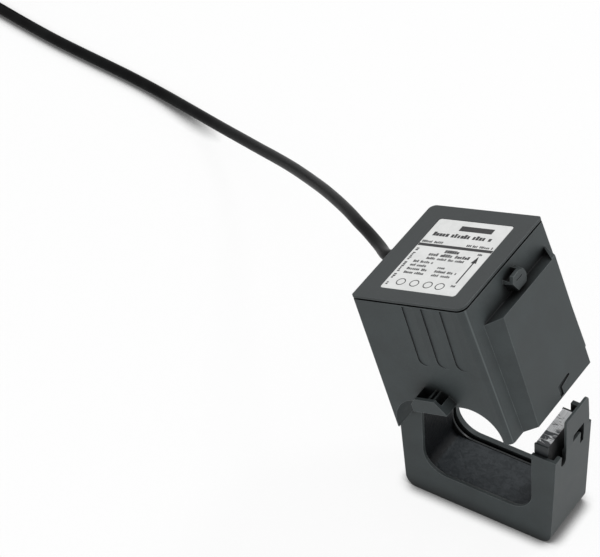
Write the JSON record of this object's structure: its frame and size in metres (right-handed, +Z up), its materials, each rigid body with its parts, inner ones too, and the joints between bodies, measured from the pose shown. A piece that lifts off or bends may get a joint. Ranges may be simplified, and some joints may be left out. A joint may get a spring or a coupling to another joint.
{
  "type": "split-core current transformer",
  "caption": "Hinged split-core current transformer, shown part open, with a moulded head, a U-shaped yoke with a latch tongue, strip cores and an output cable.",
  "frame": {"origin": "centre of the yoke's base, which it stands on", "axes": "+Z up, +Y along the conductor to the rear, +X across the window towards the latch"},
  "size_m": [0.4184, 0.232, 0.1081],
  "materials": {
    "housing": "fine spark-eroded grain, matt charcoal",
    "lid_plastic": "fine spark-eroded grain, matt charcoal",
    "carrier_plastic": "smooth charcoal plastic",
    "label": "satin white sticker film",
    "core_steel": "lapped silicon-steel strip",
    "film": "wrinkled dark insulating film",
    "bobbin_plastic": "glass-filled plastic",
    "copper_wire": "enamelled copper wire",
    "tape": "polyester tape",
    "lead_white": "PVC insulation",
    "lead_brown": "PVC insulation",
    "sleeve": "heat-shrink tube",
    "grommet_rubber": "moulded rubber",
    "cable_jacket": "glossy black PVC jacket",
    "tie": "woven hook-and-loop tie",
    "ferrule_metal": "tin-plated copper ferrule",
    "spring_steel": "spring steel strip"
  },
  "bodies": {
    "head": {"upper_housing": "housing", "lid": "lid_plastic", "rating_label": "label", "upper_core": "core_steel", "core_film_1": "film", "core_film_2": "film", "bobbin": "bobbin_plastic", "secondary_winding": "copper_wire", "winding_tape": "tape", "winding_lead_1": "lead_white", "winding_lead_2": "lead_brown", "splice_sleeve_1": "sleeve", "splice_sleeve_2": "sleeve", "strain_relief": "grommet_rubber", "cable": "cable_jacket", "cable_coil": "cable_jacket", "coil_tie_1": "tie", "coil_tie_2": "tie", "cable_tail": "cable_jacket", "core_lead_1": "lead_white", "core_lead_2": "lead_brown", "ferrule_1": "ferrule_metal", "ferrule_2": "ferrule_metal"},
    "yoke": {"lower_housing": "housing", "core_carrier": "carrier_plastic", "lower_core": "core_steel", "core_wrap": "film", "core_spring": "spring_steel"}
  },
  "joints": [
    {"name": "yoke_hinge", "type": "hinge", "parent": "head", "child": "yoke", "pos_m": [-0.0268, 0, 0.0401], "axis": [0, 1, 0], "range_deg": [-17.6, 60]}
  ]
}
